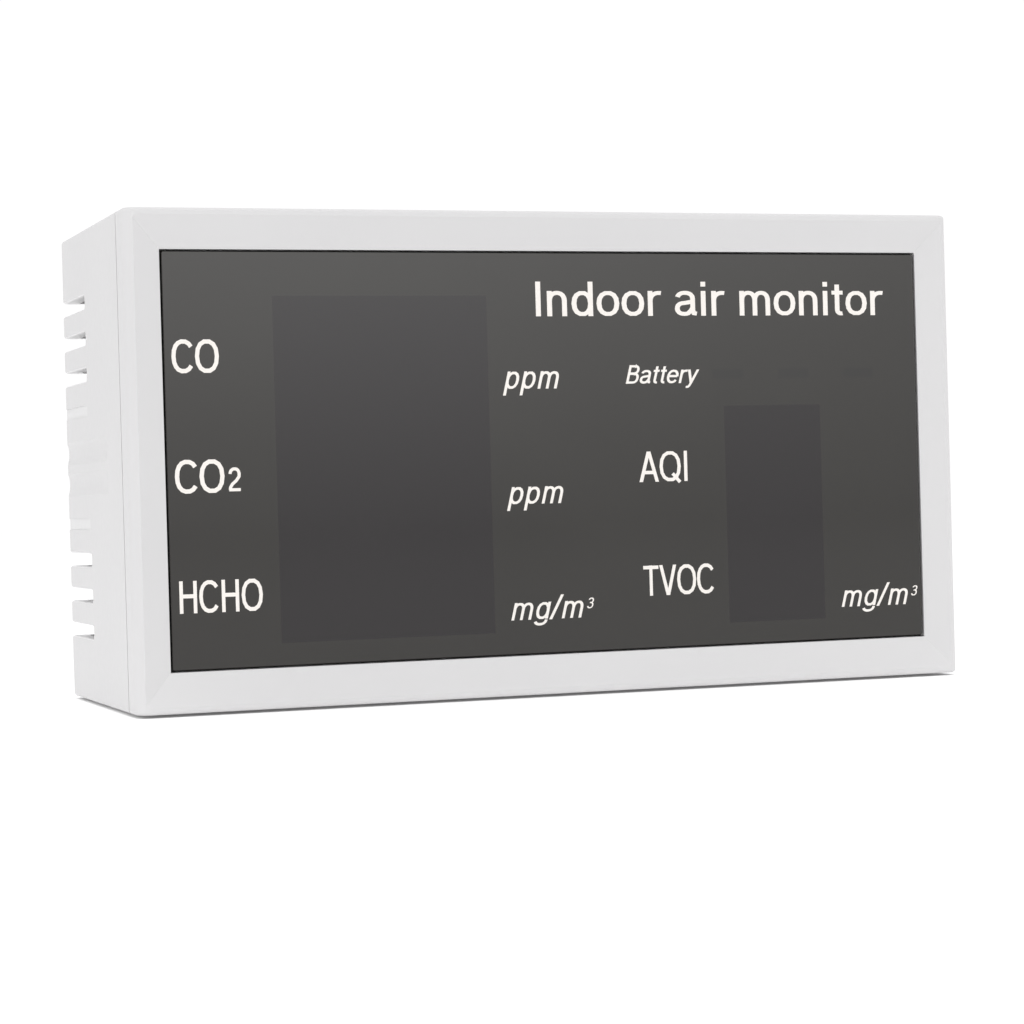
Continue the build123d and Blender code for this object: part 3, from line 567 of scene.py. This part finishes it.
def prism(name, outlines, thickness):
    """A thin slab with the given outline loops, in the XY plane. Two loops of equal length make a ring."""
    mesh = bpy.data.meshes.new(name)
    made = bmesh.new()
    if len(outlines) == 2:
        outer, inner = outlines
        count = len(outer)
        low_outer, low_inner, high_outer, high_inner = [
            [made.verts.new((p[0], p[1], z)) for p in loop]
            for z in (0, thickness) for loop in (outer, inner)]
        for i in range(count):
            j = (i + 1) % count
            made.faces.new((low_outer[i], low_inner[i], low_inner[j], low_outer[j]))
            made.faces.new((high_outer[i], high_outer[j], high_inner[j], high_inner[i]))
            made.faces.new((low_outer[i], low_outer[j], high_outer[j], high_outer[i]))
            made.faces.new((low_inner[i], high_inner[i], high_inner[j], low_inner[j]))
    else:
        loop = outlines[0]
        low = [made.verts.new((p[0], p[1], 0)) for p in loop]
        high = [made.verts.new((p[0], p[1], thickness)) for p in loop]
        made.faces.new(low)
        made.faces.new(high)
        for i in range(len(loop)):
            j = (i + 1) % len(loop)
            made.faces.new((low[i], low[j], high[j], high[i]))
    bmesh.ops.recalc_face_normals(made, faces=made.faces)
    made.to_mesh(mesh)
    made.free()
    piece = bpy.data.objects.new(name, mesh)
    bpy.context.scene.collection.objects.link(piece)
    return piece


def strip_prism(name, points, width, thickness):
    """An open stroke as a slab."""
    left, right = ribbon(points, width)
    return prism(name, [left + right[::-1]], thickness)


def unite(base, others):
    """One solid out of overlapping slabs."""
    for other in others:
        modifier = base.modifiers.new("unite", "BOOLEAN")
        modifier.operation = "UNION"
        modifier.solver = "EXACT"
        modifier.object = other
        graph = bpy.context.evaluated_depsgraph_get()
        mesh = bpy.data.meshes.new_from_object(base.evaluated_get(graph))
        base.modifiers.clear()
        base.data = mesh
        bpy.data.objects.remove(other)
    return base


glyph_meshes = {}


def glyph_mesh(letter, weight):
    """The mesh of one letter, a unit capital high and one unit thick. Made once per weight and kept."""
    if (letter, weight) not in glyph_meshes:
        width = STEM * weight
        _, open_strokes, closed_strokes, slants = GLYPHS[letter]
        slabs = [strip_prism("stroke", points, width, 1.0) for points in open_strokes]
        slabs += [prism("stroke", ribbon(points, width, closed=True), 1.0) for points in closed_strokes]
        slabs += [prism("stroke", [slant(*ends, width * SLANT_WEIGHT)], 1.0) for ends in slants]
        piece = unite(slabs[0], slabs[1:])
        glyph_meshes[letter, weight] = piece.data
        bpy.data.objects.remove(piece)
    return glyph_meshes[letter, weight]


ITALIC = math.tan(math.radians(12))
window_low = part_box("display_window")[0]
WINDOW_GAP = 0.28 * MM
CASE_HEIGHT = 66.5 * MM


def word(name, text, left, right, baseline, height, weight=1.0, spacing=0.0, italic=False,
         small="", small_place=(0, 0), small_size=0.6):
    """A printed word on the window: its left and right ends and baseline from the window opening's lower left
    corner, and the height of a capital, all in case heights. small is a raised or lowered figure after it."""
    letters = []
    pen = 0.0
    for letter in text:
        if letter == " ":
            pen += SPACE
            continue
        letters.append((letter, pen, 0.0, 1.0))
        pen += GLYPHS[letter][0] + spacing
    if small:
        letters.append((small, pen + small_place[0], small_place[1], small_size))
    made = bmesh.new()
    for letter, pen_x, rise, size in letters:
        start = len(made.verts)
        made.from_mesh(glyph_mesh(letter, weight))
        made.verts.ensure_lookup_table()
        for vertex in made.verts[start:]:
            x = vertex.co.x * size + pen_x
            y = vertex.co.y * size + rise
            vertex.co.x = x + (ITALIC * y if italic else 0.0)
            vertex.co.y = y
    low = min(v.co.x for v in made.verts)
    high = max(v.co.x for v in made.verts)
    opening_left = window_low.x - WINDOW_GAP
    opening_bottom = window_low.z - WINDOW_GAP
    wide = (right - left) * CASE_HEIGHT / (high - low)
    tall = height * CASE_HEIGHT
    for vertex in made.verts:
        x, y, z = vertex.co
        vertex.co = Vector((opening_left + left * CASE_HEIGHT + (x - low) * wide,
                            window_low.y - z * INK_DEPTH,
                            opening_bottom + baseline * CASE_HEIGHT + y * tall))
    bmesh.ops.recalc_face_normals(made, faces=made.faces)
    mesh = bpy.data.meshes.new(name)
    made.to_mesh(mesh)
    made.free()
    piece = bpy.data.objects.new(name, mesh)
    bpy.context.scene.collection.objects.link(piece)
    mesh.materials.append(ink)
    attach(piece, "case")


def print_legends():
    word("legend_title", "Indoor air monitor", 0.7895, 1.5945, 0.7032, 0.072, 0.9, 0.02)
    word("legend_co", "CO", 0.019, 0.115, 0.5933, 0.0662, spacing=0.02)
    word("legend_co2", "CO", 0.019, 0.1525, 0.3545, 0.0663, spacing=0.02, small="2",
         small_place=(0.06, 0.03), small_size=0.72)
    word("legend_hcho", "HCHO", 0.0215, 0.191, 0.1166, 0.0643, 0.95, 0.02)
    word("legend_aqi", "AQI", 1.011, 1.121, 0.3535, 0.064, 0.86, 0.02)
    word("legend_tvoc", "TVOC", 1.014, 1.175, 0.1137, 0.0637, 0.9, 0.02)
    word("legend_battery", "Battery", 0.986, 1.155, 0.5608, 0.039, 0.92, 0.03, italic=True)
    word("legend_ppm_co", "ppm", 0.712, 0.8365, 0.553, 0.0495, 0.84, 0.05, italic=True)
    word("legend_ppm_co2", "ppm", 0.714, 0.839, 0.3144, 0.049, 0.84, 0.05, italic=True)
    word("legend_unit_hcho", "mg/m", 0.7165, 0.901, 0.0745, 0.0488, 0.82, 0.045, italic=True,
         small="3", small_place=(0.02, 0.37), small_size=0.47)
    word("legend_unit_tvoc", "mg/m", 1.475, 1.6595, 0.0724, 0.0482, 0.82, 0.045, italic=True,
         small="3", small_place=(0.02, 0.37), small_size=0.47)


# ---------------------------------------------------------------- the scene
bpy.context.scene.view_settings.view_transform = "Standard"
make_camera()
make_world()
area_light("side", **SIDE_LIGHT)
area_light("top", **TOP_LIGHT)
make_floor()
ink = legend_ink()
dress_cad_nodes()
print_legends()
